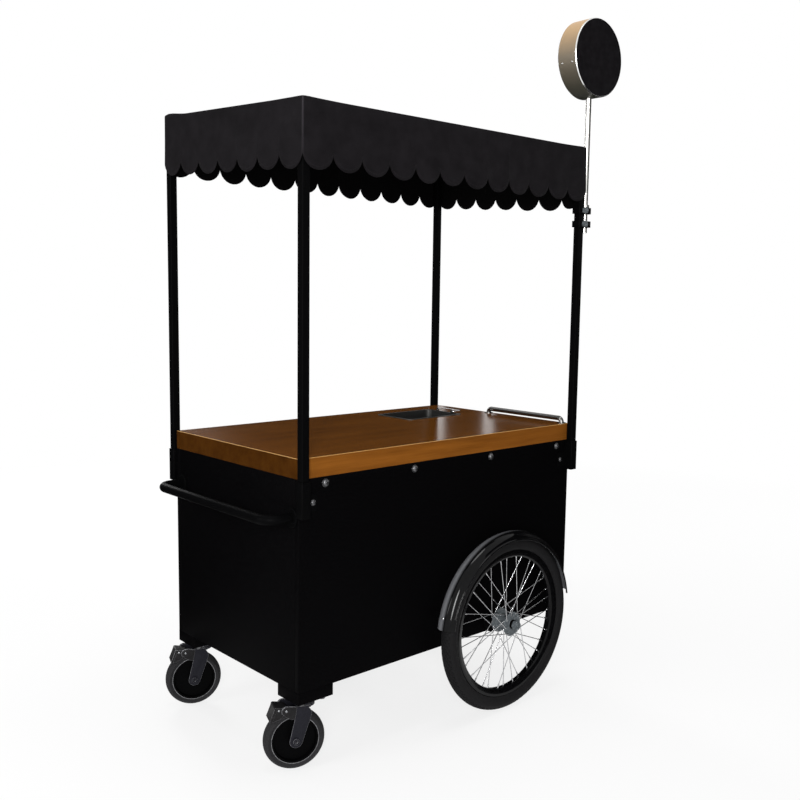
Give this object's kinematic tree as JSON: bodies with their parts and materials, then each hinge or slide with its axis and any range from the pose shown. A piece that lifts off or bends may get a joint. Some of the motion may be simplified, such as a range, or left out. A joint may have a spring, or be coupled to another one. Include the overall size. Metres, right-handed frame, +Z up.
{
  "type": "bottle service cart",
  "caption": "Rolling bottle service cart: black cabinet, wood-look worktop with ice well, scalloped cloth canopy on posts, spoked wheels, swivel casters and a round sign.",
  "frame": {"origin": "on the floor, under the middle of the whole cart's outline in plan", "axes": "+Z up, -Y towards the guests' side, +X from the push handle towards the sign"},
  "size_m": [1.505, 0.9486, 2.407],
  "materials": {
    "worktop_wood": "glossy wood-look laminate",
    "cabinet_black": "satin black lacquer",
    "frame_black": "satin black powder coat",
    "fender_black": "glossy black enamel",
    "cloth_black": "matte charcoal canopy cloth",
    "stainless": "brushed",
    "zinc": "zinc plated",
    "chrome": "polished",
    "track": "anodised",
    "rim_black": "gloss black",
    "tyre_black": "matte rubber",
    "caster_rubber": "matte rubber",
    "caster_plastic": "matte",
    "sign_metal": "brushed, warm",
    "sign_face": "gloss black"
  },
  "bodies": {
    "cart": {"worktop": "worktop_wood", "front_panel": "cabinet_black", "left_panel": "cabinet_black", "right_panel": "cabinet_black", "floor_panel": "cabinet_black", "rear_frame": "cabinet_black", "shelf": "cabinet_black", "caster_blocks": "cabinet_black", "post_sockets": "frame_black", "post_front_left": "frame_black", "post_front_right": "frame_black", "post_rear_left": "frame_black", "post_rear_right": "frame_black", "canopy_rails": "frame_black", "push_handle": "frame_black", "axle_flanges": "frame_black", "fender_stays": "frame_black", "mast_clamps": "frame_black", "fender_front": "fender_black", "fender_rear": "fender_black", "canopy_roof": "cloth_black", "valance_front": "cloth_black", "valance_rear": "cloth_black", "valance_left": "cloth_black", "valance_right": "cloth_black", "ice_well": "stainless", "well_strainer": "stainless", "gallery_rail": "stainless", "cabinet_bolts": "zinc", "caster_plate_front": "zinc", "caster_plate_rear": "zinc", "wheel_axle": "zinc", "clamp_screws": "chrome", "door_tracks": "track"},
    "wheel_front": {"wheel_tyre_front": "tyre_black", "wheel_rim_front": "rim_black", "wheel_spokes_front": "chrome", "wheel_hub_front": "zinc"},
    "wheel_rear": {"wheel_tyre_rear": "tyre_black", "wheel_rim_rear": "rim_black", "wheel_spokes_rear": "chrome", "wheel_hub_rear": "zinc"},
    "caster_front": {"caster_fork_front": "zinc", "caster_axle_front": "zinc"},
    "caster_rear": {"caster_fork_rear": "zinc", "caster_axle_rear": "zinc"},
    "caster_wheel_front": {"caster_core_front": "caster_plastic", "caster_tyre_front": "caster_rubber"},
    "caster_wheel_rear": {"caster_core_rear": "caster_plastic", "caster_tyre_rear": "caster_rubber"},
    "pedal_front": {"caster_pedal_front": "caster_plastic"},
    "pedal_rear": {"caster_pedal_rear": "caster_plastic"},
    "service_door": {"service_door": "cabinet_black", "door_pull": "stainless"},
    "well_handle": {"well_handle": "chrome"},
    "sign": {"sign_mast": "sign_metal", "sign_drum": "sign_metal", "sign_faces": "sign_face"}
  },
  "joints": [
    {"name": "wheel_front_spin", "type": "hinge", "parent": "cart", "child": "wheel_front", "pos_m": [0.1845, -0.416, 0.305], "axis": [0, 1, 0], "continuous": true},
    {"name": "caster_front_swivel", "type": "hinge", "parent": "cart", "child": "caster_front", "pos_m": [-0.5885, -0.297, 0.2], "axis": [0, 0, 1], "continuous": true},
    {"name": "caster_front_roll", "type": "hinge", "parent": "caster_front", "child": "caster_wheel_front", "pos_m": [-0.62188, -0.28351, 0.095], "axis": [-0.3746, -0.9272, 0], "continuous": true},
    {"name": "pedal_front_press", "type": "hinge", "parent": "caster_front", "child": "pedal_front", "pos_m": [-0.64969, -0.27228, 0.1942], "axis": [-0.3746, -0.9272, 0], "range_deg": [-12, 0]},
    {"name": "wheel_rear_spin", "type": "hinge", "parent": "cart", "child": "wheel_rear", "pos_m": [0.1845, 0.416, 0.305], "axis": [0, 1, 0], "continuous": true},
    {"name": "caster_rear_swivel", "type": "hinge", "parent": "cart", "child": "caster_rear", "pos_m": [-0.5885, 0.297, 0.2], "axis": [0, 0, 1], "continuous": true},
    {"name": "caster_rear_roll", "type": "hinge", "parent": "caster_rear", "child": "caster_wheel_rear", "pos_m": [-0.62188, 0.31049, 0.095], "axis": [-0.3746, -0.9272, 0], "continuous": true},
    {"name": "pedal_rear_press", "type": "hinge", "parent": "caster_rear", "child": "pedal_rear", "pos_m": [-0.64969, 0.32172, 0.1942], "axis": [-0.3746, -0.9272, 0], "range_deg": [-12, 0]},
    {"name": "service_door_slide", "type": "slide", "parent": "cart", "child": "service_door", "axis": [1, 0, 0], "range_m": [0, 0.337]},
    {"name": "well_handle_lift", "type": "hinge", "parent": "cart", "child": "well_handle", "pos_m": [0.4425, 0.16, 0.9665], "axis": [0, -1, 0], "range_deg": [0, 100]},
    {"name": "sign_turn", "type": "hinge", "parent": "cart", "child": "sign", "pos_m": [0.6175, -0.3658, 1.7], "axis": [0, 0, 1], "continuous": true}
  ]
}
